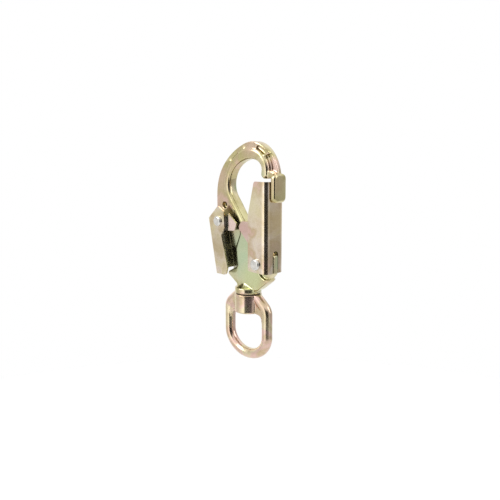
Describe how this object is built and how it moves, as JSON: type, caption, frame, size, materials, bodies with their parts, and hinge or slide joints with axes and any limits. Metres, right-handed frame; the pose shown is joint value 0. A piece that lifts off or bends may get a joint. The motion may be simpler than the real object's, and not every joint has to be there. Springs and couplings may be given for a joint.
{
  "type": "swivel snap hook",
  "caption": "Double-locking forged snap hook with a spring gate, a squeeze lock lever and a free-turning D-shaped swivel eye.",
  "frame": {"origin": "on the swivel axis, at the lower face of the hook's collar", "axes": "+Z along the swivel axis from the eye to the hook's crown, +X from the back of the hook towards its gate, Y across the thickness"},
  "size_m": [0.0764, 0.028, 0.192],
  "materials": {
    "forged_body": "forged steel, yellow passivated zinc plate, satin with green and pink iridescence",
    "forged_eye": "forged steel, yellow passivated zinc plate, satin, browner",
    "gate_sheet": "pressed sheet steel, yellow passivated zinc plate, fine brushed grain",
    "lever_sheet": "pressed sheet steel, yellow passivated zinc plate, fine brushed grain",
    "rivets": "bright zinc plate, satin",
    "sleeves": "turned steel, bright zinc plate",
    "springs": "drawn spring steel wire",
    "washers": "dark steel washer",
    "bushing": "bronze bush"
  },
  "bodies": {
    "body": {"hook_body": "forged_body"},
    "gate": {"gate": "gate_sheet", "gate_rivet": "rivets", "gate_sleeve": "sleeves", "gate_spring_left": "springs", "gate_spring_right": "springs"},
    "lever": {"lock_lever": "lever_sheet", "lever_rivet": "rivets", "lever_sleeve": "sleeves", "lever_spring_left": "springs", "lever_spring_right": "springs"},
    "eye": {"swivel_eye": "forged_eye", "swivel_bushing": "bushing", "swivel_washer": "washers", "shank_washer": "washers"}
  },
  "joints": [
    {"name": "gate_hinge", "type": "hinge", "parent": "body", "child": "gate", "pos_m": [0.02, 0, 0.029], "axis": [0, -1, 0], "range_deg": [0, 26], "stiffness_Nm_per_rad": 0.35, "springref_deg": -20.05, "deforming": ["gate_spring_left", "gate_spring_right"]},
    {"name": "lever_hinge", "type": "hinge", "parent": "body", "child": "lever", "pos_m": [-0.0259, 0, 0.0617], "axis": [0, -1, 0], "range_deg": [0, 8], "stiffness_Nm_per_rad": 0.4, "springref_deg": -17.19, "deforming": ["lever_spring_left", "lever_spring_right"]},
    {"name": "swivel", "type": "hinge", "parent": "body", "child": "eye", "pos_m": [0, 0, 0], "axis": [0, 0, 1], "continuous": true}
  ]
}
